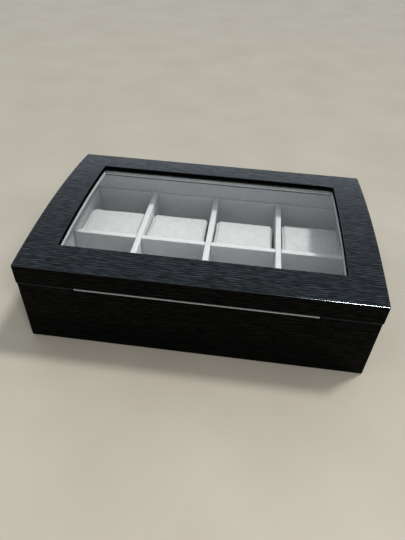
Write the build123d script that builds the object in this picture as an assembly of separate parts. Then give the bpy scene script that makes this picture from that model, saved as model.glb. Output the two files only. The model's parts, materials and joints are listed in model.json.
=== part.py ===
from build123d import *
import math
import os

# A watch box with a curved glass lid, two rows of four compartments and a cushion in each.
# Millimetres. X runs along the box, Y from its front to its back, Z up from the surface it stands on.
# The origin is on that surface, under the middle of the base.

# ---- Driving sizes ---------------------------------------------------------------------------

base_length = 329.0          # outside of the base along X
base_depth = 217.0           # outside of the base along Y
lid_overhang = 0.6           # how far the lid stands proud of the base on every side
rim_height = 71.0            # top of the base walls
lid_gap = 0.2                # between the base rim and the closed lid
lid_edge_height = 92.0       # top of the lid along its long front and back edges
crown_rise = 6.8             # how much higher the lid is along its middle line

wall_thickness = 9.0
corner_radius = 1.2          # rounding of the upright outer corners
edge_radius = 1.0            # rounding of the long outer edges
foot_radius = 0.6            # rounding of the base's bottom edges
frame_width = 32.2           # rails of the lid, from its outside to the window
lip_thickness = 4.6          # black edge of the window above the pane
glass_thickness = 2.2
glass_play = 0.1             # free space over and under the pane
glass_overlap = 8.0          # how far the rebate for the pane runs in under the rails
glass_edge_play = 0.5        # between the pane's edges and the rebate
retainer_thickness = 3.2
window_corner_radius = 1.0
window_edge_radius = 0.8

felt_thickness = 1.0
felt_inset = 2.0
bottom_thickness = 4.0
bottom_rebate = 4.5          # how far the bottom panel is let into the walls
lining_thickness = 1.2       # cloth-covered card on the inside of the walls
floor_lining_thickness = 1.5
cloth_gap = 0.1              # play between cloth-covered pieces
lining_drop = 0.5            # the linings stop this far short of the rim

insert_thickness = 4.4
insert_height = 53.5         # top of the low boards around the compartments
divider_thickness = 6.4
divider_height = 55.5        # top of the dividers
divider_edge_radius = 1.6
columns = 4                  # compartments along X, in two rows

cushion_width = 67.0         # along X
cushion_depth = 60.0         # along Y
cushion_top = 46.3
cushion_edge_radius = 12.0
cushion_end_radius = 4.0
cushion_front_gap = 1.8      # the cushions stand close behind the board in front of them
loose_cushion_shift = 4.5    # the right cushion of the back row stands further back

strip_length = 220.0         # metal lift strip in the lid's lower front edge
strip_thickness = 1.5
strip_width = 6.2
strip_projection = 1.2
strip_edge_radius = 0.25
strip_play = 0.05

hinge_offset = 95.0          # hinge centres from the middle of the box
hinge_length = 34.0
hinge_knuckles = 5
knuckle_radius = 2.0
knuckle_gap = 0.2
knuckle_clearance = 0.3      # around the barrel, in the walls and in the facing leaf
pin_radius = 0.8
pin_play = 0.05
leaf_thickness = 1.0
leaf_play = 0.05
axis_inset = 1.2             # hinge axis in from the base's back face
leaf_reach = 6.7             # from the hinge axis to the leaf's front edge
stop_angle = 96.0            # the bevelled back edges meet when the lid is this far open

screw_spacing = 20.4         # between the two screws of a leaf
screw_head_radius = 1.5
screw_head_height = 0.9
screw_shank_radius = 0.75
screw_length = 7.0
screw_play = 0.05
screw_slot_width = 0.4
screw_slot_depth = 0.35

# ---- Sizes worked out from them --------------------------------------------------------------

lid_length = base_length + 2 * lid_overhang
lid_depth = base_depth + 2 * lid_overhang
lid_bottom = rim_height + lid_gap
crown_height = lid_edge_height + crown_rise
arch_radius = ((lid_depth / 2) ** 2 + crown_rise ** 2) / (2 * crown_rise)
arch_centre = crown_height - arch_radius
panel_thickness = lip_thickness + glass_thickness + 2 * glass_play
window_length = lid_length - 2 * frame_width
window_depth = lid_depth - 2 * frame_width

floor_board_top = felt_thickness + bottom_thickness
floor_top = floor_board_top + floor_lining_thickness
base_inner_length = base_length - 2 * wall_thickness
base_inner_depth = base_depth - 2 * wall_thickness
bottom_length = base_inner_length + 2 * bottom_rebate
bottom_depth = base_inner_depth + 2 * bottom_rebate
lid_inner_length = lid_length - 2 * wall_thickness
lid_inner_depth = lid_depth - 2 * wall_thickness
lined_length = base_inner_length - 2 * lining_thickness
lined_depth = base_inner_depth - 2 * lining_thickness
insert_outer_length = lined_length - 2 * cloth_gap
insert_outer_depth = lined_depth - 2 * cloth_gap
insert_inner_length = insert_outer_length - 2 * insert_thickness
insert_inner_depth = insert_outer_depth - 2 * insert_thickness
compartment_width = (insert_inner_length - (columns - 1) * divider_thickness) / columns
column_pitch = compartment_width + divider_thickness
divider_places = [(column - (columns - 2) / 2) * column_pitch for column in range(columns - 1)]
compartment_places = [(column - (columns - 1) / 2) * column_pitch for column in range(columns)]
lap_height = (floor_top + divider_height) / 2

axis_y = base_depth / 2 - axis_inset
axis_z = rim_height + lid_gap / 2
screw_row_y = axis_y - (leaf_reach + knuckle_radius + knuckle_clearance) / 2
reach = base_length          # longer than any cut has to be
overshoot = 1.0              # how far a cut runs past the face it opens


# ---- Shapes used again and again -------------------------------------------------------------

def block(length, depth, low, high, x=0.0, y=0.0):
    """An upright block centred on x, y, from height low to height high."""
    aligned = (Align.CENTER, Align.CENTER, Align.MIN)
    return Pos(x, y, low) * Box(length, depth, high - low, align=aligned)


def ring(outer_length, outer_depth, inner_length, inner_depth, low, high):
    """A rectangular frame standing on its edge faces."""
    hole = block(inner_length, inner_depth, low - overshoot, high + overshoot)
    return block(outer_length, outer_depth, low, high) - hole


def bar(radius, length, y, z, x=0.0):
    """A round bar along X."""
    return Pos(x, y, z) * Rot(0, 90, 0) * Cylinder(radius, length)


def below_arch(drop):
    """Everything under the lid's curved top, lowered square to the curve by drop."""
    return bar(arch_radius - drop, 2 * reach, 0, arch_centre)


def arch_layer(drop, thickness):
    """A curved layer that starts drop below the lid's top and has this thickness."""
    return below_arch(drop) - below_arch(drop + thickness)


def quarter(side):
    """The part of space that belongs to one side of the box, out to its 45 degree mitres."""
    middle = (base_length - base_depth) / 2
    if side in ("front", "back"):
        corners = [(-middle - reach, -reach), (middle + reach, -reach), (middle, 0), (-middle, 0)]
        prism = extrude(Polygon(*corners, align=None), amount=reach)
        return prism if side == "front" else mirror(prism, about=Plane.XZ)
    corners = [(-middle, 0), (-middle - reach, reach), (-middle - reach, -reach)]
    prism = extrude(Polygon(*corners, align=None), amount=reach)
    return prism if side == "left" else mirror(prism, about=Plane.YZ)


def four_sides(frame, prefix, suffix):
    """Cut a frame at its mitres and name the four boards."""
    boards = {}
    for side in ("front", "back", "left", "right"):
        boards[f"{prefix}{side}{suffix}"] = frame & quarter(side)
    return boards


def upright_edges(shape):
    return shape.edges().filter_by(Axis.Z)


def stop_bevel(owner):
    """The wedge cut from the back edge of the base or the lid, from the hinge axis outwards."""
    run = axis_inset + lid_overhang + overshoot
    fall = run * math.tan(math.radians(stop_angle / 2))
    steps = [(0, 0), (run, -fall), (run, fall), (0, fall)]
    outline = [(axis_y + back, axis_z + up) for back, up in steps]
    face = Plane.YZ * Polygon(*outline, align=None)
    wedge = Pos(-reach, 0, 0) * extrude(face, amount=2 * reach)
    return wedge if owner == "base" else mirror(wedge, about=Plane.XY.offset(axis_z))


# ---- Hinges ----------------------------------------------------------------------------------

def knuckle_places(owner):
    """Middles of the knuckles along the hinge: every other one belongs to the base."""
    step = hinge_length / hinge_knuckles
    first = 0 if owner == "base" else 1
    return [(index - (hinge_knuckles - 1) / 2) * step for index in range(first, hinge_knuckles, 2)]


def leaf_heights(owner):
    """Bottom and top of a leaf's plate."""
    if owner == "base":
        return rim_height - leaf_thickness, rim_height
    return lid_bottom, lid_bottom + leaf_thickness


def screw_places(x):
    return [(x + side * screw_spacing / 2, screw_row_y) for side in (-1, 1)]


def screw_form(play):
    """A countersunk screw pointing down from z = 0, grown by play."""
    hanging = (Align.CENTER, Align.CENTER, Align.MAX)
    shank_radius = screw_shank_radius + play
    head = Cone(shank_radius, screw_head_radius + play, screw_head_height, align=hanging)
    shank = Cylinder(shank_radius, screw_length - screw_head_height + play, align=hanging)
    return head + Pos(0, 0, -screw_head_height) * shank


def screw_at(place, owner, play=0.0):
    """A screw or, with some play, the hole for it, driven into the rim from the parting gap."""
    x, y = place
    if owner == "base":
        return Pos(x, y, rim_height) * screw_form(play)
    return Pos(x, y, lid_bottom) * Rot(180, 0, 0) * screw_form(play)


def hinge_screws(owner):
    """The four slotted screws of one half of both hinges."""
    head_top = rim_height if owner == "base" else lid_bottom
    screws = []
    for side in (-1, 1):
        for place in screw_places(side * hinge_offset):
            slot = block(3 * screw_head_radius, screw_slot_width, head_top - screw_slot_depth,
                         head_top + screw_slot_depth, *place)
            screws.append((screw_at(place, owner) - slot).solid())
    return Compound(children=screws)


def hinge_leaf(x, owner):
    """One leaf with its knuckles, lying in the rim of the base or of the lid."""
    other = "lid" if owner == "base" else "base"
    step = hinge_length / hinge_knuckles
    low, high = leaf_heights(owner)
    leaf = block(hinge_length, leaf_reach, low, high, x, axis_y - leaf_reach / 2)
    notch = 2 * (knuckle_radius + knuckle_clearance)
    for place in knuckle_places(other):
        leaf -= block(step + knuckle_gap, notch, low - overshoot, high + overshoot, x + place, axis_y)
    for place in knuckle_places(owner):
        leaf += bar(knuckle_radius, step - knuckle_gap, axis_y, axis_z, x + place)
    leaf -= bar(pin_radius + pin_play, 2 * hinge_length, axis_y, axis_z, x)
    for place in screw_places(x):
        leaf -= screw_at(place, owner, screw_play)
    return leaf


def hinge_pin(x):
    pin = bar(pin_radius, hinge_length, axis_y, axis_z, x)
    return chamfer(pin.edges().filter_by(GeomType.CIRCLE), pin_radius / 4)


def hinge_cuts(owner):
    """What both hinges take out of a back wall: leaf, barrel and screw holes."""
    low, high = leaf_heights(owner)
    low -= leaf_play
    high += leaf_play
    cuts = Part()
    for side in (-1, 1):
        x = side * hinge_offset
        length = hinge_length + 2 * knuckle_clearance
        depth = leaf_reach + leaf_play
        cuts += block(length, depth, low, high, x, axis_y - depth / 2)
        cuts += bar(knuckle_radius + knuckle_clearance, length, axis_y, axis_z, x)
        for place in screw_places(x):
            cuts += screw_at(place, owner, screw_play)
    return cuts


# ---- Base ------------------------------------------------------------------------------------

def base_walls():
    """Four mitred boards, rounded outside, bevelled at the back and rebated for the bottom panel."""
    body = block(base_length, base_depth, felt_thickness, rim_height)
    body = fillet(upright_edges(body), corner_radius)
    body = fillet(body.faces().sort_by(Axis.Z)[-1].edges(), edge_radius)
    body = fillet(body.faces().sort_by(Axis.Z)[0].edges(), foot_radius)
    body -= stop_bevel("base")
    body -= block(base_inner_length, base_inner_depth, 0, rim_height + overshoot)
    body -= block(bottom_length, bottom_depth, 0, floor_board_top)
    body -= hinge_cuts("base")
    return four_sides(body, "base_", "_wall")


def base_bottom_panel():
    return block(bottom_length, bottom_depth, felt_thickness, floor_board_top)


def underside_felt():
    return block(base_length - 2 * felt_inset, base_depth - 2 * felt_inset, 0, felt_thickness)


def base_linings():
    """Cloth-covered card on the inside of the base walls."""
    frame = ring(base_inner_length, base_inner_depth, lined_length, lined_depth,
                 floor_board_top, rim_height - lining_drop)
    return four_sides(frame, "base_", "_lining")


def base_floor_lining():
    return block(lined_length - 2 * cloth_gap, lined_depth - 2 * cloth_gap, floor_board_top, floor_top)


def insert_walls():
    """Low padded boards that frame the compartments."""
    frame = ring(insert_outer_length, insert_outer_depth, insert_inner_length, insert_inner_depth,
                 floor_top, insert_height)
    top_edges = frame.faces().sort_by(Axis.Z)[-1].edges()
    frame = fillet(top_edges, divider_edge_radius)
    return four_sides(frame, "insert_", "_wall")


def long_divider():
    """The board between the two rows, slotted from above for the short dividers."""
    length = insert_inner_length - 2 * cloth_gap
    board = block(length, divider_thickness, floor_top, divider_height)
    board = fillet(board.edges().filter_by(Axis.X).group_by(Axis.Z)[-1], divider_edge_radius)
    for x in divider_places:
        board -= block(divider_thickness + 2 * cloth_gap, 2 * divider_thickness, lap_height, reach, x)
    return board


def short_divider(x):
    """A board from front to back, slotted from below to sit over the long divider."""
    depth = insert_inner_depth - 2 * cloth_gap
    board = block(divider_thickness, depth, floor_top, divider_height, x)
    board = fillet(board.edges().filter_by(Axis.Y).group_by(Axis.Z)[-1], divider_edge_radius)
    slot_width = divider_thickness + 2 * cloth_gap
    return board - block(2 * divider_thickness, slot_width, 0, lap_height + cloth_gap, x)


def cushion(x, front):
    """A watch cushion: a padded roll along X with its front face at Y = front."""
    height = cushion_top - floor_top - cloth_gap
    section = Plane.YZ * RectangleRounded(cushion_depth, height, cushion_edge_radius)
    roll = extrude(section, amount=cushion_width)
    ends = roll.faces().sort_by(Axis.X)
    roll = fillet(ends[0].edges() + ends[-1].edges(), cushion_end_radius)
    return Pos(x - cushion_width / 2, front + cushion_depth / 2, cushion_top - height / 2) * roll


def cushions():
    """One cushion for each compartment, numbered from the left."""
    rows = {"front": -insert_inner_depth / 2 + cushion_front_gap,
            "back": divider_thickness / 2 + cushion_front_gap}
    found = {}
    for row, front in rows.items():
        for number, x in enumerate(compartment_places, start=1):
            is_loose = row == "back" and number == columns
            shift = loose_cushion_shift if is_loose else 0.0
            found[f"{row}_cushion_{number}"] = cushion(x, front + shift)
    return found


# ---- Lid -------------------------------------------------------------------------------------

def lid_block():
    """The lid's outer form as one block, before it is cut into panel and walls."""
    body = block(lid_length, lid_depth, lid_bottom, crown_height + overshoot)
    body = fillet(upright_edges(body), corner_radius)
    body &= below_arch(0)
    body = fillet(body.faces().sort_by(Axis.Z)[-1].edges(), edge_radius)
    body = fillet(body.faces().sort_by(Axis.Z)[0].edges(), edge_radius)
    return body - stop_bevel("lid")


def lid_top_panel(body):
    """The curved panel with the window and, under it, the rebate for the pane."""
    panel = body & arch_layer(-overshoot, panel_thickness + overshoot)
    window = block(window_length, window_depth, lid_bottom, reach)
    panel -= fillet(upright_edges(window), window_corner_radius)
    rebate = block(window_length + 2 * glass_overlap, window_depth + 2 * glass_overlap, lid_bottom, reach)
    panel -= rebate & arch_layer(lip_thickness, panel_thickness)
    window_edges = panel.faces().sort_by(Axis.Z)[-1].inner_wires()[0].edges()
    return fillet(window_edges, window_edge_radius)


def lid_walls(body):
    """Four mitred boards under the panel."""
    frame = body & below_arch(panel_thickness)
    frame -= block(lid_inner_length, lid_inner_depth, 0, reach)
    frame -= hinge_cuts("lid")
    frame -= lift_strip_space(strip_play)
    return four_sides(frame, "lid_", "_wall")


def window_glass():
    """The pane, bowed to the curve of the lid."""
    hidden_edge = 2 * (glass_overlap - glass_edge_play)
    pane = block(window_length + hidden_edge, window_depth + hidden_edge, lid_bottom, reach)
    return pane & arch_layer(lip_thickness + glass_play, glass_thickness)


def glass_retainers():
    """Cloth-covered strips under the rails that hold the pane up."""
    hidden_edge = 2 * (lining_thickness + cloth_gap)
    frame = ring(lid_inner_length - hidden_edge, lid_inner_depth - hidden_edge,
                 window_length, window_depth, lid_bottom, reach)
    frame &= arch_layer(panel_thickness, retainer_thickness)
    return four_sides(frame, "", "_glass_retainer")


def lid_linings():
    """Cloth-covered card on the inside of the lid walls."""
    frame = ring(lid_inner_length, lid_inner_depth, lid_inner_length - 2 * lining_thickness,
                 lid_inner_depth - 2 * lining_thickness, lid_bottom + lining_drop, reach)
    frame &= below_arch(panel_thickness)
    return four_sides(frame, "lid_", "_lining")


def lift_strip_space(play):
    """The space of the lift strip in the lid's front wall, grown by play."""
    front = -lid_depth / 2 - strip_projection
    width = strip_width + play
    top = lid_bottom + strip_thickness + play
    return block(strip_length + 2 * play, width, lid_bottom, top, 0, front + width / 2)


def lift_strip():
    """The metal strip that is pulled to lift the lid."""
    strip = lift_strip_space(0)
    front_edges = strip.faces().sort_by(Axis.Y)[0].edges()
    return fillet(front_edges, strip_edge_radius)


# ---- Everything together ---------------------------------------------------------------------

def all_parts():
    parts = {}
    parts.update(base_walls())
    parts["base_bottom_panel"] = base_bottom_panel()
    parts["underside_felt"] = underside_felt()
    parts.update(base_linings())
    parts["base_floor_lining"] = base_floor_lining()
    parts.update(insert_walls())
    parts["long_divider"] = long_divider()
    for name, x in zip(("left", "middle", "right"), divider_places):
        parts[f"{name}_short_divider"] = short_divider(x)
    parts.update(cushions())

    body = lid_block()
    parts["lid_top_panel"] = lid_top_panel(body)
    parts.update(lid_walls(body))
    parts["window_glass"] = window_glass()
    parts.update(glass_retainers())
    parts.update(lid_linings())
    parts["lift_strip"] = lift_strip()

    for name, side in (("left", -1), ("right", 1)):
        x = side * hinge_offset
        parts[f"{name}_hinge_base_leaf"] = hinge_leaf(x, "base")
        parts[f"{name}_hinge_lid_leaf"] = hinge_leaf(x, "lid")
        parts[f"{name}_hinge_pin"] = hinge_pin(x)
    parts["base_hinge_screws"] = hinge_screws("base")
    parts["lid_hinge_screws"] = hinge_screws("lid")
    return parts


os.makedirs("parts", exist_ok=True)
for node, shape in all_parts().items():
    solids = shape.solids()
    piece = solids[0] if len(solids) == 1 else Compound(children=list(solids))
    export_step(piece, f"parts/{node}.step")
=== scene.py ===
import json
import math

import bmesh
import bpy
from mathutils import Matrix, Vector, noise

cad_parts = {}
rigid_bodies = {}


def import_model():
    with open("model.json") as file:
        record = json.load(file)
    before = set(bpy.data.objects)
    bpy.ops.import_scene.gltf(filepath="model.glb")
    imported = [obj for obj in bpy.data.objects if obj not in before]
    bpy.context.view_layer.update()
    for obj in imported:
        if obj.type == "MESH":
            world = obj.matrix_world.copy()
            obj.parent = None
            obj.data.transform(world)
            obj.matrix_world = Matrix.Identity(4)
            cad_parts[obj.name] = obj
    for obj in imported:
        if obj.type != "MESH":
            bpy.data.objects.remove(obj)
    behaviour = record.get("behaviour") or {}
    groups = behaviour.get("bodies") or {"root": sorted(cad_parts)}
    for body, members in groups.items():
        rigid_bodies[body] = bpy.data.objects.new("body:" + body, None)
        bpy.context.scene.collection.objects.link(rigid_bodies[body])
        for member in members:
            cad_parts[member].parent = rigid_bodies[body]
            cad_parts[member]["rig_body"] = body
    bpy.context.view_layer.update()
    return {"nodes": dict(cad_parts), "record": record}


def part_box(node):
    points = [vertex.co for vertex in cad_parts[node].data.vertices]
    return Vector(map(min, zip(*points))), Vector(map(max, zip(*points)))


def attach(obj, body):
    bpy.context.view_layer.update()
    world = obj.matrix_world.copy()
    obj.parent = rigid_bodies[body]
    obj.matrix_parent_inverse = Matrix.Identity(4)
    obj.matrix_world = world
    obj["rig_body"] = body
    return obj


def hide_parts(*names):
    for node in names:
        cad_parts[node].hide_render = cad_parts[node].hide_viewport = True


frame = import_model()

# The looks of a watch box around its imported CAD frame: lacquered veneer, a curved pane, suede-covered
# boards and eight stuffed cushions. Metres; X along the box, Y from front to back, Z up.

mm = 0.001

# ---- Sizes -----------------------------------------------------------------------------------

panel_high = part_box("lid_top_panel")[1]
half_length = panel_high.x
half_depth = panel_high.y
crown = panel_high.z                       # top of the lid along its middle line
panel_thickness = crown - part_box("lid_left_wall")[1].z
edge_rise = 6.8 * mm                       # how much lower the lid is along its front and back edges
arch_radius = (half_depth ** 2 + edge_rise ** 2) / (2 * edge_rise)
frame_width = 32.2 * mm                    # rails of the lid, from its outside to the window
retainer_thickness = 3.2 * mm              # strips that hold the pane

grain_pitch = 2.6 * mm                     # between the light lines of the veneer
grain_drift = 3.0 * mm                     # how far these lines wander from side to side

lining_edge_radius = 0.45 * mm
insert_edge_radius = 1.5 * mm
floor_edge_radius = 0.5 * mm
divider_edge_radius = 0.8 * mm
retainer_edge_radius = 0.6 * mm
lining_padding = 0.10 * mm                 # how uneven the cloth lies on each kind of board
floor_padding = 0.20 * mm
board_padding = 0.25 * mm
retainer_padding = 0.15 * mm
slot_play = 0.1 * mm                       # in the half-lap slots of the dividers

section_points = 96                        # around a cushion
section_radius = 7.0 * mm                  # of its long edges
corner_reach = 5.0 * mm                    # rounding of its upright corners, seen from above
end_steps = (0, 0.7, 1.5, 2.3, 3.4, 5.0, 7.2)                  # rings of points near its ends, in mm
body_step = 3.2 * mm                       # between the rings along its body
cap_scales = (0.10, 0.26, 0.42, 0.58, 0.73, 0.86, 0.95)        # rings of points on its flat ends
unstuffed_slack = Vector((2.5, 3.0, 4.5)) * mm                 # how much smaller it is before stuffing
cloth_steps = 20
largest_move = 3 * mm                      # of a point of the cloth while it is stuffed
cap_bulge = 0.25                           # share of the ends' bulge that is left when they are sewn flat
end_pull = 1.0 * mm                        # how far the middle of each end is drawn in
end_reach = 0.6 * mm                       # how far the corners stand out over the drawn-in ends
seam_depths = {1: -0.40, 2: 3.00, 3: 0.30}                     # by ring from the end, in mm
pucker_rings = 4                           # how many rings beside the seam are puckered


# ---- Node graphs -----------------------------------------------------------------------------

class Graph:
    """A material or world node tree that is built with short calls."""

    def __init__(self, owner):
        owner.use_nodes = True
        self.tree = owner.node_tree
        self.tree.nodes.clear()

    def set(self, socket, value):
        if isinstance(value, bpy.types.NodeSocket):
            self.tree.links.new(value, socket)
        else:
            socket.default_value = value

    def add(self, kind, inputs=None, **settings):
        """A node of this kind. Inputs are numbers or colours, or outputs of other nodes."""
        node = self.tree.nodes.new("ShaderNode" + kind)
        for key, value in settings.items():
            setattr(node, key, value)
        for key, value in (inputs or {}).items():
            self.set(node.inputs[key], value)
        return node

    def math(self, operation, *values):
        node = self.add("Math", operation=operation)
        for socket, value in zip(node.inputs, values):
            self.set(socket, value)
        return node.outputs[0]

    def product(self, first, *others):
        for other in others:
            first = self.math("MULTIPLY", first, other)
        return first

    def opposite(self, share):
        return self.math("SUBTRACT", 1.0, share)

    def split(self, vector):
        """The X, Y and Z parts of a vector."""
        return self.add("SeparateXYZ", {0: vector}).outputs

    def joined(self, x, y, z):
        return self.add("CombineXYZ", {0: x, 1: y, 2: z}).outputs[0]

    def scaled(self, vector, x, y, z):
        """A vector with each of its parts scaled."""
        node = self.add("VectorMath", {0: vector, 1: (x, y, z)}, operation="MULTIPLY")
        return node.outputs[0]

    def noise(self, vector, detail=2.0, roughness=0.5, distortion=0.0):
        inputs = {"Vector": vector, "Scale": 1.0, "Detail": detail, "Roughness": roughness,
                  "Distortion": distortion}
        return self.add("TexNoise", inputs).outputs["Fac"]

    def span(self, value, low, high, to_low=0.0, to_high=1.0):
        """Value stretched so that low and high become to_low and to_high, and clipped there."""
        inputs = {"Value": value, "From Min": low, "From Max": high, "To Min": to_low, "To Max": to_high}
        return self.add("MapRange", inputs, clamp=True).outputs["Result"]

    def blend(self, share, first, second):
        """First where share is 0, second where it is 1."""
        node = self.add("Mix", data_type="RGBA")
        self.set(node.inputs["Factor"], share)
        self.set(node.inputs[6], first)
        self.set(node.inputs[7], second)
        return node.outputs[2]

    def bump(self, height, depth, normal=None, strength=1.0):
        inputs = {"Height": height, "Distance": depth, "Strength": strength}
        if normal is not None:
            inputs["Normal"] = normal
        return self.add("Bump", inputs).outputs["Normal"]

    def surface(self, inputs):
        """A principled surface with these inputs as the tree's result."""
        shader = self.add("BsdfPrincipled", inputs)
        self.finish(shader.outputs[0])

    def finish(self, shader):
        output = self.add("OutputMaterial")
        self.set(output.inputs["Surface"], shader)


def place(graph):
    """Where a point is in the frame, in metres."""
    return graph.add("TexCoord").outputs["Object"]


def grey(value):
    return (value, value, value, 1)


# ---- Materials -------------------------------------------------------------------------------

def grain_flow(graph, parts, along):
    """A vector whose X runs with the grain, and the same vector with its lines wandering a little."""
    run = parts[along]
    across = parts["Y" if along == "X" else "X"]
    up = parts["Z"]
    flow = graph.joined(run, across, up)
    drift = graph.noise(graph.scaled(flow, 16, 110, 110), detail=2)
    drift = graph.product(graph.math("SUBTRACT", drift, 0.5), grain_drift)
    wavy = graph.joined(run, graph.math("ADD", across, drift), graph.math("ADD", up, drift))
    return flow, wavy


def grain_lines(graph, wavy):
    """Light lines along the grain, broken into dashes: 1 on a line and 0 off it."""
    parts = graph.split(wavy)
    turns = graph.product(graph.math("ADD", parts["Y"], parts["Z"]), 2 * math.pi / grain_pitch)
    lines = graph.span(graph.math("SINE", turns), -0.4, 0.9)
    breaks = graph.noise(graph.scaled(wavy, 100, 560, 560), detail=1, roughness=0.4)
    bands = graph.noise(graph.scaled(wavy, 8, 210, 210), detail=3)
    return graph.product(lines, graph.span(breaks, 0.38, 0.58, 0.20, 1.0),
                         graph.span(bands, 0.30, 0.70, 0.90, 1.0))


def wear(graph, normal, smudges):
    """Where the lacquer is rubbed thin: in patches along the outer edges."""
    edge = graph.add("Bevel", {"Radius": 0.9 * mm}, samples=6).outputs[0]
    sameness = graph.add("VectorMath", {0: edge, 1: normal}, operation="DOT_PRODUCT").outputs["Value"]
    return graph.product(graph.span(sameness, 0.90, 0.70), graph.span(smudges, 0.45, 0.62))


def window_edge(graph, parts, facing):
    """1 on the upright edge of the lid's window and 0 elsewhere."""
    play = 0.4 * mm
    inside = []
    for axis, half in (("X", half_length), ("Y", half_depth)):
        away = graph.math("ABSOLUTE", parts[axis])
        inside.append(graph.math("LESS_THAN", away, half - frame_width + play))
    return graph.product(*inside, graph.math("LESS_THAN", facing, 0.6))


def veneer(name, along):
    """Satin black lacquer over open-pored veneer, with its grain along X or along Y."""
    made = bpy.data.materials.new(name)
    graph = Graph(made)
    parts = graph.split(place(graph))
    normal = graph.add("NewGeometry").outputs["Normal"]
    facing = graph.math("ABSOLUTE", graph.split(normal)["Z"])

    flow, wavy = grain_flow(graph, parts, along)
    figure = grain_lines(graph, wavy)
    pores = graph.span(graph.noise(graph.scaled(wavy, 110, 2100, 2100), detail=2), 0.36, 0.50)
    clouds = graph.noise(graph.scaled(flow, 7, 18, 18), detail=3)
    smudges = graph.noise(graph.scaled(flow, 22, 26, 26), detail=5, roughness=0.65)
    worn = wear(graph, normal, smudges)
    painted = window_edge(graph, parts, facing)
    # The lacquer is thick and smooth on the rounded edges, so nothing breaks the line of their shine.
    turned = graph.product(graph.span(facing, 0.98, 0.93), graph.span(facing, 0.15, 0.35))
    flat = graph.opposite(turned)

    tone = graph.blend(figure, (0.0026, 0.0024, 0.0022, 1), (0.0075, 0.0070, 0.0064, 1))
    tone = graph.blend(graph.span(clouds, 0.45, 0.75, 0.0, 0.30), tone, (0.0120, 0.0092, 0.0076, 1))
    tone = graph.blend(pores, grey(0.001), tone)
    tone = graph.blend(graph.product(worn, 0.5), tone, (0.050, 0.044, 0.040, 1))
    tone = graph.blend(painted, tone, grey(0.0015))

    # Upright faces are less polished than the top, and the edge of the window's opening is a dull black.
    lustre = graph.product(graph.span(figure, 0.0, 1.0, 0.45, 1.30), graph.span(pores, 0.0, 1.0, 0.35, 1.0))
    lustre = graph.math("ADD", graph.product(lustre, flat), turned)
    lustre = graph.product(lustre, graph.span(facing, 0.1, 0.5, 0.26, 1.0))
    lustre = graph.product(lustre, graph.span(painted, 0.0, 1.0, 1.0, 0.3))

    rough = graph.span(smudges, 0.30, 0.75, 0.17, 0.27)
    rough = graph.math("ADD", rough, graph.product(graph.opposite(pores), 0.20))
    rough = graph.math("ADD", rough, graph.product(painted, 0.4))
    rough = graph.math("ADD", graph.product(rough, flat), graph.product(turned, 0.13))

    relief = graph.bump(figure, 0.012 * mm, strength=flat)
    relief = graph.bump(pores, 0.012 * mm, relief, strength=flat)
    # The specular tint is a painted reflection: it gives the lacquer's shine the bluish cast of the sky
    # light at the back of the room.
    graph.surface({"Base Color": tone, "Roughness": rough, "Specular IOR Level": lustre,
                   "Specular Tint": (0.84, 0.93, 1.0, 1), "Normal": relief})
    return made


def suede(name, tint, mottle):
    """Short-napped suede cloth. Mottle says how strongly the nap lies in patches."""
    made = bpy.data.materials.new(name)
    graph = Graph(made)
    spot = place(graph)
    patches = graph.noise(graph.scaled(spot, 120, 120, 120), detail=4, roughness=0.6, distortion=0.6)
    clumps = graph.noise(graph.scaled(spot, 900, 900, 900), detail=3, roughness=0.6)
    fibres = graph.noise(graph.scaled(spot, 2600, 3400, 2600), detail=2, roughness=0.7)

    flecks = graph.noise(graph.scaled(spot, 420, 420, 420), detail=3, roughness=0.65, distortion=0.8)
    nap = graph.span(patches, 0.30, 0.70, -0.4 * mottle, 0.4 * mottle)
    nap = graph.math("ADD", nap, graph.span(flecks, 0.30, 0.70, -mottle, mottle))
    nap = graph.math("ADD", nap, graph.span(clumps, 0.30, 0.70, -0.18, 0.18))
    dark = tuple(0.72 * part for part in tint) + (1,)
    light = tuple(min(1.14 * part, 1) for part in tint) + (1,)
    tone = graph.blend(graph.math("ADD", nap, 0.6), dark, light)
    tone = graph.blend(graph.span(fibres, 0.52, 0.72, 0.0, 0.10), tone, grey(0.92))

    relief = graph.bump(clumps, 0.14 * mm)
    relief = graph.bump(fibres, 0.07 * mm, relief)
    relief = graph.bump(patches, 0.30 * mm, relief)
    graph.surface({"Base Color": tone, "Roughness": 0.96, "Specular IOR Level": 0.12, "Normal": relief,
                   "Sheen Weight": 0.22, "Sheen Roughness": 0.45, "Sheen Tint": tuple(tint) + (1,)})
    return made


def clear_glass():
    """A thin clear pane: it shows what is behind it, reflects at a slant and holds a little dust."""
    made = bpy.data.materials.new("clear_glass")
    graph = Graph(made)
    spot = place(graph)
    smears = graph.noise(graph.scaled(spot, 18, 30, 30), detail=5, roughness=0.6, distortion=1.2)
    dust = graph.noise(graph.scaled(spot, 1500, 1500, 1500), detail=1)
    smears = graph.span(smears, 0.45, 0.75, 0.0, 0.010)
    dust = graph.span(dust, 0.70, 0.80, 0.0, 0.06)
    film = graph.math("ADD", smears, dust)

    clear = graph.add("BsdfTransparent", {"Color": (0.935, 0.940, 0.939, 1)}).outputs[0]
    shine = graph.add("BsdfGlossy", {"Color": grey(1.0), "Roughness": 0.03}).outputs[0]
    haze = graph.add("BsdfDiffuse", {"Color": grey(0.75)}).outputs[0]
    slant = graph.add("Fresnel", {"IOR": 1.50}).outputs[0]
    outer = graph.opposite(graph.add("NewGeometry").outputs["Backfacing"])
    share = graph.product(slant, 1.1, outer)
    pane = graph.add("MixShader", {0: share, 1: clear, 2: shine}).outputs[0]
    pane = graph.add("MixShader", {0: film, 1: pane, 2: haze}).outputs[0]
    graph.finish(pane)
    return made


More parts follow.
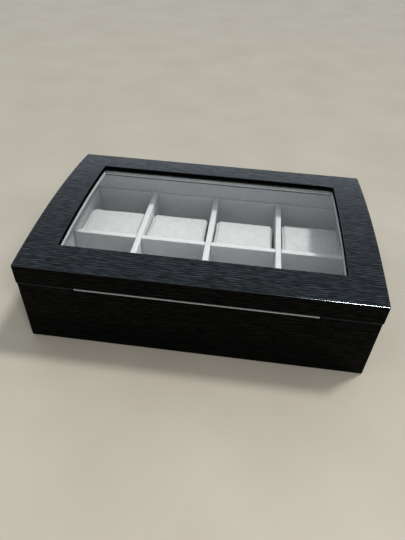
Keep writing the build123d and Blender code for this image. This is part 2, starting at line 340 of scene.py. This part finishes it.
def metal(name, tint, roughness, depth, brushed=False):
    """Satin metal with a fine grain of this depth, drawn out along X where it is brushed."""
    made = bpy.data.materials.new(name)
    graph = Graph(made)
    spot = place(graph)
    stretch = (90, 6000, 6000) if brushed else (3000, 3000, 3000)
    lines = graph.noise(graph.scaled(spot, *stretch), detail=3, roughness=0.6)
    handling = graph.noise(graph.scaled(spot, 70, 200, 200), detail=4)
    dull = tuple(0.78 * part for part in tint) + (1,)
    tone = graph.blend(graph.span(lines, 0.3, 0.7), dull, tuple(tint) + (1,))
    tone = graph.blend(graph.span(handling, 0.50, 0.80, 0.0, 0.25), tone, dull)
    rough = graph.span(handling, 0.3, 0.7, roughness - 0.05, roughness + 0.08)
    graph.surface({"Base Color": tone, "Metallic": 1.0, "Roughness": rough,
                   "Normal": graph.bump(lines, depth)})
    return made


def felt():
    """Black felt with curled fibres."""
    made = bpy.data.materials.new("black_felt")
    graph = Graph(made)
    spot = place(graph)
    fibres = graph.noise(graph.scaled(spot, 1400, 1400, 1400), detail=4, roughness=0.7, distortion=1.5)
    tone = graph.blend(graph.span(fibres, 0.35, 0.70), grey(0.006), grey(0.030))
    graph.surface({"Base Color": tone, "Roughness": 1.0, "Specular IOR Level": 0.1, "Sheen Weight": 0.25,
                   "Normal": graph.bump(fibres, 0.4 * mm)})
    return made


def fibreboard():
    """Bare fibreboard with light and dark flecks."""
    made = bpy.data.materials.new("bare_board")
    graph = Graph(made)
    spot = place(graph)
    flecks = graph.noise(graph.scaled(spot, 700, 700, 700), detail=5, roughness=0.7)
    tone = graph.blend(graph.span(flecks, 0.3, 0.7), (0.30, 0.21, 0.13, 1), (0.52, 0.40, 0.27, 1))
    graph.surface({"Base Color": tone, "Roughness": 0.85, "Normal": graph.bump(flecks, 0.10 * mm)})
    return made


def paint(thing, finish):
    """Give an object one material, whatever slots it came with."""
    if not thing.material_slots:
        thing.data.materials.append(None)
    for slot in thing.material_slots:
        slot.link = "OBJECT"
        slot.material = finish


# ---- CAD nodes that stay ---------------------------------------------------------------------

slot_of = {row["node"]: row["material_slot"] for row in frame["record"]["subparts"]}
veneer_x = veneer("black_veneer_along_x", "X")
veneer_y = veneer("black_veneer_along_y", "Y")
board_suede = suede("grey_suede", (0.675, 0.678, 0.677), 0.12)
cushion_suede = suede("cushion_suede", (0.620, 0.624, 0.619), 0.26)
finishes = {
    "grey_suede": board_suede,
    "cushion_suede": cushion_suede,
    "clear_glass": clear_glass(),
    "strip_metal": metal("strip_metal", (0.58, 0.59, 0.61), 0.55, 0.006 * mm, brushed=True),
    "hinge_metal": metal("hinge_metal", (0.62, 0.60, 0.56), 0.30, 0.006 * mm),
    "screw_steel": metal("screw_steel", (0.66, 0.66, 0.65), 0.22, 0.004 * mm),
    "black_felt": felt(),
    "bare_board": fibreboard(),
}


def finish_nodes():
    """Give every CAD node that stays the finish its material slot asks for."""
    for node, thing in frame["nodes"].items():
        slot = slot_of[node]
        if slot == "black_veneer":
            side_board = node.endswith(("left_wall", "right_wall"))
            paint(thing, veneer_y if side_board else veneer_x)
        else:
            paint(thing, finishes[slot])


# ---- Suede-covered boards --------------------------------------------------------------------

def stops(low, high, radius, cell):
    """Places of the cuts across a board along one axis: close together where its edges turn."""
    inner = max(high - low - 2 * radius, 0)
    count = max(1, round(inner / cell))
    middle = [low + radius + inner * index / count for index in range(count + 1)]
    turn = [radius * (1 - math.cos(math.radians(angle))) for angle in (0, 30, 60)]
    return [low + part for part in turn] + middle + [high - part for part in reversed(turn)]


def rounded(point, low, high, radius):
    """A point of a box's surface, pulled onto the same box with rounded edges."""
    core = Vector(min(max(point[axis], low[axis] + radius), high[axis] - radius) for axis in range(3))
    out = point - core
    if out.length < 1e-9:
        return core
    return core + out.normalized() * radius


def is_inside(point, boxes):
    """True if the point is in one of these boxes."""
    for low, high in boxes:
        if all(low[axis] < point[axis] < high[axis] for axis in range(3)):
            return True
    return False


def board_cuts(low, high, radius, cell, slots):
    """Where a board is cut into cells along each axis, with cuts at the sides of its slots."""
    cuts = []
    for axis in range(3):
        values = stops(low[axis], high[axis], radius, cell)
        for slot in slots:
            values += [corner[axis] for corner in slot if low[axis] < corner[axis] < high[axis]]
        cuts.append(sorted(set(round(value, 7) for value in values)))
    return cuts


def board_mesh(name, low, high, radius, cell, slots=(), form=None):
    """A closed board of small faces with rounded outer edges, less its slots. Form moves its points."""
    cuts = board_cuts(low, high, radius, cell, slots)
    sizes = [len(values) - 1 for values in cuts]

    def solid(index):
        middle = []
        for values, size, place_in in zip(cuts, sizes, index):
            if not 0 <= place_in < size:
                return False
            middle.append((values[place_in] + values[place_in + 1]) / 2)
        return not is_inside(middle, slots)

    mesh = bmesh.new()
    corners = {}

    def corner(index):
        if index not in corners:
            point = Vector(cuts[axis][index[axis]] for axis in range(3))
            point = rounded(point, low, high, radius)
            corners[index] = mesh.verts.new(form(point) if form else point)
        return corners[index]

    every = ((i, j, k) for i in range(sizes[0]) for j in range(sizes[1]) for k in range(sizes[2]))
    for index in every:
        on_shell = any(index[axis] in (0, sizes[axis] - 1) for axis in range(3))
        if not (on_shell or slots) or not solid(index):
            continue
        for axis in range(3):
            for side in (0, 1):
                step = [0, 0, 0]
                step[axis] = 1 if side else -1
                if solid(tuple(index[n] + step[n] for n in range(3))):
                    continue
                first, second = (axis + 1) % 3, (axis + 2) % 3
                ring = []
                for u, v in ((0, 0), (1, 0), (1, 1), (0, 1)):
                    spot = list(index)
                    spot[axis] += side
                    spot[first] += u
                    spot[second] += v
                    ring.append(corner(tuple(spot)))
                mesh.faces.new(ring if side else ring[::-1])
    data = bpy.data.meshes.new(name)
    mesh.to_mesh(data)
    mesh.free()
    data.shade_smooth()
    return data


def stand_in(name, data, node, finish):
    """Put a new piece in place of a CAD node, on that node's body."""
    piece = bpy.data.objects.new(name, data)
    bpy.context.scene.collection.objects.link(piece)
    body = frame["nodes"][node]["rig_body"]
    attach(piece, body)
    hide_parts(node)
    paint(piece, finish)
    return piece


def swell(amount, reach, seed):
    """How far padding stands out at a point: slow bumps of this height and this width."""
    shift = Vector((seed * 3.7, seed * 1.3, seed * 2.1))

    def at(point):
        return amount * noise.noise(point / reach + shift)
    return at


def mitred(low, high, side):
    """Slide a board's end points along it so that its ends meet its neighbours' at 45 degrees."""
    along, across = (0, 1) if side in ("front", "back") else (1, 0)
    half = high[along]
    outer = low[across] if side in ("front", "left") else high[across]

    def move(point):
        inward = abs(point[across] - outer)
        point[along] *= (half - inward) / half
        return point
    return move


def arch_drop(y):
    """How far the lid's curve has fallen at y below its middle line."""
    return arch_radius - math.sqrt(arch_radius ** 2 - y ** 2)


def panel_under(y):
    """Height of the underside of the lid's panel."""
    return crown - panel_thickness - arch_drop(y)


def covered_board(node, radius, cell, padding, seed, slots=(), side=None):
    """A flat card or board wrapped in suede, in place of a CAD node."""
    low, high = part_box(node)
    mitre = mitred(low, high, side) if side else None
    bulge = swell(padding, 22 * mm, seed)
    thin = min(range(3), key=lambda axis: high[axis] - low[axis])
    middle = (low[thin] + high[thin]) / 2

    def form(point):
        outward = 1 if point[thin] > middle else -1
        point[thin] += outward * (bulge(point) - padding / 2)
        return mitre(point) if mitre else point
    data = board_mesh(node, low, high, radius, cell, slots, form)
    return stand_in(f"{node}_suede", data, node, board_suede)


def line_base():
    """Linings of the base and the low insert walls."""
    for seed, side in enumerate(("front", "back", "left", "right")):
        lining = f"base_{side}_lining"
        insert = f"insert_{side}_wall"
        covered_board(lining, lining_edge_radius, 6 * mm, lining_padding, seed, side=side)
        covered_board(insert, insert_edge_radius, 5 * mm, board_padding, seed + 4, side=side)
    covered_board("base_floor_lining", floor_edge_radius, 7 * mm, floor_padding, 8)


def line_dividers():
    """The long divider is slotted from above, the short ones from below."""
    beyond = 1.0                           # further out than any side of the boards
    long_low, long_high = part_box("long_divider")
    lap = (long_low.z + long_high.z) / 2
    slots = []
    for seed, name in enumerate(("left", "middle", "right"), start=10):
        node = f"{name}_short_divider"
        low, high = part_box(node)
        from_above = (Vector((low.x - slot_play, -beyond, lap)),
                      Vector((high.x + slot_play, beyond, beyond)))
        from_below = (Vector((-beyond, long_low.y - slot_play, -beyond)),
                      Vector((beyond, long_high.y + slot_play, lap + slot_play)))
        slots.append(from_above)
        covered_board(node, divider_edge_radius, 4 * mm, board_padding, seed, slots=[from_below])
    covered_board("long_divider", divider_edge_radius, 4 * mm, board_padding, 14, slots=slots)


def lid_lining(side):
    """The lining of one of the lid's walls, which reaches up to the curved panel."""
    node = f"lid_{side}_lining"
    low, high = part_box(node)
    mitre = mitred(low, high, side)

    def form(point):
        share = (point.z - low.z) / (high.z - low.z)
        point.z = low.z + share * (panel_under(point.y) - low.z)
        return mitre(point)
    data = board_mesh(node, low, high, lining_edge_radius, 6 * mm, form=form)
    stand_in(f"{node}_suede", data, node, board_suede)


def glass_retainer(side, seed):
    """One of the strips that hold the pane, bent to the lid's curve."""
    node = f"{side}_glass_retainer"
    low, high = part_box(node)
    flat_low = Vector((low.x, low.y, -retainer_thickness))
    flat_high = Vector((high.x, high.y, 0))
    mitre = mitred(flat_low, flat_high, side)
    bulge = swell(retainer_padding, 18 * mm, seed)

    def form(point):
        point = mitre(point)
        is_lower = point.z < -retainer_thickness / 2
        point.z += panel_under(point.y) + bulge(point) * (1 if is_lower else 0)
        return point
    data = board_mesh(node, flat_low, flat_high, retainer_edge_radius, 5 * mm, form=form)
    stand_in(f"{node}_suede", data, node, board_suede)


def line_lid():
    """Linings of the lid's walls and the strips that hold the pane."""
    for seed, side in enumerate(("front", "back", "left", "right"), start=20):
        lid_lining(side)
        glass_retainer(side, seed)


# ---- Cushions --------------------------------------------------------------------------------

def section(depth, height, radius):
    """Points round a cushion's section, seen along X: a box with rounded corners, evenly spaced."""
    straight_y = depth - 2 * radius
    straight_z = height - 2 * radius
    legs = [straight_y, math.pi / 2 * radius, straight_z, math.pi / 2 * radius] * 2
    points = []
    for index in range(section_points):
        walk = sum(legs) * index / section_points
        heading = 0
        spot = Vector((0, -straight_y / 2, height / 2))
        for number, leg in enumerate(legs):
            part = min(walk, leg)
            if number % 2 == 0:
                spot += Vector((0, math.cos(heading), math.sin(heading))) * part
            else:
                centre = spot + Vector((0, math.sin(heading), -math.cos(heading))) * radius
                heading -= part / radius
                spot = centre - Vector((0, math.sin(heading), -math.cos(heading))) * radius
            walk -= part
            if walk <= 0:
                break
        points.append(spot)
    return points


def cushion_stations(width):
    """Where the rings of points stand along a cushion: closer together near its sewn ends."""
    near = [step * mm for step in end_steps]
    plain = width - 2 * near[-1]
    count = round(plain / body_step)
    middle = [near[-1] + plain * index / count for index in range(1, count)]
    offsets = near + middle + [width - step for step in reversed(near)]
    return [offset - width / 2 for offset in offsets]


def cushion_rings(width, depth, height):
    """Rings from the middle of the left end, over the body, to the middle of the right end."""
    rings = []
    for x in cushion_stations(width):
        inward = max(corner_reach - (width / 2 - abs(x)), 0)
        pull = corner_reach - math.sqrt(corner_reach ** 2 - inward ** 2)
        outline = section(depth - 2 * pull, height, section_radius)
        rings.append([Vector((x, spot.y, spot.z)) for spot in outline])
    left_cap, right_cap = [
        [[Vector((spot.x, spot.y * scale, spot.z * scale)) for spot in end] for scale in cap_scales]
        for end in (rings[0], rings[-1])]
    return left_cap + rings + right_cap[::-1]


def skin(name, rings):
    """A closed mesh over rings of points, with the middle of each end filled by a fan."""
    count = len(rings[0])
    points = [spot for ring in rings for spot in ring]
    first_hub, last_hub = len(points), len(points) + 1
    points += [sum(ring, Vector()) / count for ring in (rings[0], rings[-1])]
    faces = []
    for ring in range(len(rings) - 1):
        for index in range(count):
            here = ring * count + index
            beside = ring * count + (index + 1) % count
            faces.append((here, here + count, beside + count, beside))
    last = (len(rings) - 1) * count
    for index in range(count):
        beside = (index + 1) % count
        faces.append((first_hub, index, beside))
        faces.append((last_hub, last + beside, last + index))
    data = bpy.data.meshes.new(name)
    data.from_pydata(points, [], faces)
    data.shade_smooth()
    return data


def stuffed(rings, pressure):
    """The same rings after cloth has been blown up from inside, no point moving further than is allowed."""
    pad = bpy.data.objects.new("pad", skin("pad", rings))
    bpy.context.scene.collection.objects.link(pad)
    cloth = pad.modifiers.new("cloth", "CLOTH")
    cloth.settings.quality = 6
    cloth.settings.mass = 0.3
    cloth.settings.tension_stiffness = 15
    cloth.settings.compression_stiffness = 15
    cloth.settings.bending_stiffness = 0.5
    cloth.settings.use_pressure = True
    cloth.settings.uniform_pressure_force = pressure
    cloth.settings.effector_weights.gravity = 0
    cloth.point_cache.frame_start = 1
    cloth.point_cache.frame_end = cloth_steps
    for step in range(1, cloth_steps + 1):
        bpy.context.scene.frame_set(step)
    evaluated = pad.evaluated_get(bpy.context.evaluated_depsgraph_get())
    blown = [point.co.copy() for point in evaluated.data.vertices]
    bpy.data.objects.remove(pad)
    bpy.context.scene.frame_set(1)
    count = len(rings[0])
    result = []
    for number, ring in enumerate(rings):
        moved = []
        for index, spot in enumerate(ring):
            move = blown[number * count + index] - spot
            if move.length > largest_move:
                move = move.normalized() * largest_move
            moved.append(spot + move)
        result.append(moved)
    return result


def with_flat_ends(rings):
    """The same rings with most of the bulge of each sewn end taken out."""
    caps = len(cap_scales)
    for rim, cap in ((rings[caps], rings[:caps]), (rings[-1 - caps], rings[-caps:])):
        edge = sum(spot.x for spot in rim) / len(rim)
        for ring in cap:
            for spot in ring:
                spot.x = edge + cap_bulge * (spot.x - edge)
    return rings


def fitted(rings, low, high):
    """Rings scaled and moved so that they just fill a box."""
    points = [spot for ring in rings for spot in ring]
    least = [min(spot[axis] for spot in points) for axis in range(3)]
    most = [max(spot[axis] for spot in points) for axis in range(3)]

    def fit(spot):
        share = [(spot[axis] - least[axis]) / (most[axis] - least[axis]) for axis in range(3)]
        return Vector(low[axis] + share[axis] * (high[axis] - low[axis]) for axis in range(3))
    return [[fit(spot) for spot in ring] for ring in rings]


def looseness(spot, seed, index, from_end):
    """How far loose cloth stands out at a point: puckers beside the seam and slow waves further in."""
    shift = Vector((seed * 5.1, seed * 2.3, seed))
    push = 0
    if from_end > 2:
        fade = 1 - min((from_end - 2) / pucker_rings, 1)
        wave = math.sin(index * 1.35 + 3 * noise.noise(spot / (9 * mm) + shift) + seed)
        push += wave * 0.16 * mm * fade
    if from_end >= 2:
        push += 0.35 * mm * noise.noise(spot / (17 * mm) + shift)
        push += 0.16 * mm * noise.noise(spot / (5 * mm) + shift)
    return push


def sewn(rings, seed):
    """Sink a seam into the body near each end, with a raised lip outside it, and let the cloth lie loose."""
    last = len(rings) - 1
    result = []
    for number, ring in enumerate(rings):
        from_end = min(number, last - number) - len(cap_scales)
        middle = sum(ring, Vector()) / len(ring)
        moved = []
        for index, spot in enumerate(ring):
            out = spot - middle
            out.x = 0
            out = out.normalized() if out.length > 1e-6 else Vector()
            push = looseness(spot, seed, index, from_end) - seam_depths.get(from_end, 0) * mm
            moved.append(spot + out * push)
        result.append(moved)
    return result


def drawn_in(rings, low, high):
    """The same rings with both ends pulled in between their corners, as stuffing draws the cloth tight."""
    centre = (low + high) / 2
    half = (high - low) / 2
    result = []
    for ring in rings:
        moved = []
        for spot in ring:
            toward_end = (spot.x - centre.x) / half.x
            from_middle = min(abs(spot.y - centre.y) / half.y, 1)
            pull = end_pull * toward_end ** 3 * (1 - from_middle ** 2)
            moved.append(Vector((spot.x - pull, spot.y, spot.z)))
        result.append(moved)
    return result


def stuffed_shape(pressure):
    """A cushion's shape, stuffed to this pressure and sewn flat at its ends."""
    low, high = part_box("back_cushion_1")
    rings = cushion_rings(*(high - low - unstuffed_slack))
    return with_flat_ends(stuffed(rings, pressure))


def make_cushions():
    """Two shapes are stuffed and each cushion is one of them, turned and creased in its own way."""
    shapes = [stuffed_shape(pressure) for pressure in (2.4, 1.9)]
    sideways = {"back": (-0.5, -1.0, -0.5, 0.5), "front": (0.3, -0.4, 0.6, -0.2)}       # mm
    turns = {"back": (0.3, 0.2, -0.3, 0.4), "front": (-0.4, 0.3, 0.2, -0.3)}            # degrees
    reach = Vector((end_reach, 0, 0))
    seed = 30
    for row in ("back", "front"):
        for number in range(4):
            node = f"{row}_cushion_{number + 1}"
            low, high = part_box(node)
            rings = fitted(shapes[number % 2], low - reach, high + reach)
            rings = drawn_in(sewn(rings, seed), low, high)
            centre = (low + high) / 2
            turn = Matrix.Rotation(math.radians(turns[row][number]), 3, "Z")
            shift = Vector((sideways[row][number] * mm, 0, 0))
            for ring in rings:
                for spot in ring:
                    spot.z = max(spot.z, low.z)
                    spot[:] = turn @ (spot - centre) + centre + shift
            piece = stand_in(f"{node}_pad", skin(f"{node}_pad", rings), node, cushion_suede)
            smooth = piece.modifiers.new("smooth", "SUBSURF")
            smooth.levels = 1
            smooth.render_levels = 1
            seed += 1


# ---- Stage -----------------------------------------------------------------------------------

def lay_floor():
    """A plain pale floor that runs back to a low horizon."""
    mesh = bmesh.new()
    bmesh.ops.create_grid(mesh, x_segments=8, y_segments=8, size=6.0)
    data = bpy.data.meshes.new("floor")
    mesh.to_mesh(data)
    mesh.free()
    floor = bpy.data.objects.new("floor", data)
    bpy.context.scene.collection.objects.link(floor)
    made = bpy.data.materials.new("pale_floor")
    graph = Graph(made)
    spot = place(graph)
    grain = graph.noise(graph.scaled(spot, 9, 9, 9), detail=4)
    tone = graph.blend(graph.span(grain, 0.3, 0.7), (0.268, 0.250, 0.214, 1), (0.290, 0.272, 0.236, 1))
    graph.surface({"Base Color": tone, "Roughness": 0.62, "Specular IOR Level": 0.3})
    paint(floor, made)


# ---- Light and camera ------------------------------------------------------------------------

def soft_lamp(name, spot, width, height, power, receivers):
    """An area lamp that points at the box and lights only these objects."""
    light = bpy.data.lights.new(name, "AREA")
    light.shape = "RECTANGLE"
    light.size = width
    light.size_y = height
    light.energy = power
    lamp = bpy.data.objects.new(name, light)
    lamp.location = spot
    lamp.rotation_euler = (-spot).to_track_quat("-Z", "Y").to_euler()
    bpy.context.scene.collection.objects.link(lamp)
    lit = bpy.data.collections.new(f"{name}_receivers")
    for thing in receivers:
        lit.objects.link(thing)
    lamp.light_linking.receiver_collection = lit
    return lamp


def light_scene():
    """A soft key light from behind on the right, and a room that is brighter at the back and low down."""
    key = bpy.data.lights.new("key_light", "SUN")
    key.energy = 1.85
    key.angle = math.radians(8)
    key.color = (1.0, 0.985, 0.955)
    lamp = bpy.data.objects.new("key_light", key)
    lamp.rotation_euler = Vector((-13, -10, -33)).to_track_quat("-Z", "Y").to_euler()
    lamp.visible_glossy = False
    bpy.context.scene.collection.objects.link(lamp)

    # Two lamps in front, high on the right: one shows as the highlight along the lid's front edge, and
    # the other lightens the floor where the box keeps the key light off it.
    from_front = Vector((0.58, -1.08, 1.13))
    edge_lamp = soft_lamp("edge_lamp", from_front, 0.40, 0.15, 38, [frame["nodes"]["lid_top_panel"]])
    edge_lamp.visible_diffuse = False
    soft_lamp("floor_lamp", from_front, 0.42, 0.25, 13, [bpy.data.objects["floor"]])

    room = bpy.data.worlds.new("room")
    bpy.context.scene.world = room
    graph = Graph(room)
    direction = graph.split(graph.add("TexCoord").outputs["Generated"])
    high = graph.span(direction["Z"], 0.46, 0.66)
    behind = graph.span(direction["Y"], -0.35, 0.55)
    near_room = graph.blend(high, (0.36, 0.36, 0.355, 1), (0.68, 0.68, 0.67, 1))
    far_room = graph.blend(high, (0.68, 0.73, 0.79, 1), (0.74, 0.79, 0.85, 1))
    colour = graph.blend(behind, near_room, far_room)
    background = graph.add("Background", {"Color": colour, "Strength": 1.0})
    output = graph.add("OutputWorld")
    graph.set(output.inputs["Surface"], background.outputs[0])


def place_camera():
    """A phone held in front of the box, a little to the right, looking down at it."""
    lens = bpy.data.cameras.new("camera")
    lens.lens = 30.36
    lens.sensor_width = 36
    lens.clip_start = 0.01
    camera = bpy.data.objects.new("camera", lens)
    turn_left = Matrix.Rotation(math.radians(5.59), 4, "Z")
    look_down = Matrix.Rotation(math.radians(90 - 40.85), 4, "X")
    roll = Matrix.Rotation(math.radians(2.51), 4, "Z")
    stand = Matrix.Translation((0.0338, -0.3933, 0.3582))
    camera.matrix_world = stand @ turn_left @ look_down @ roll
    bpy.context.scene.collection.objects.link(camera)
    bpy.context.scene.camera = camera


bpy.context.scene.view_settings.view_transform = "Standard"
bpy.context.scene.view_settings.look = "High Contrast"
finish_nodes()
line_base()
line_dividers()
line_lid()
make_cushions()
lay_floor()
light_scene()
place_camera()
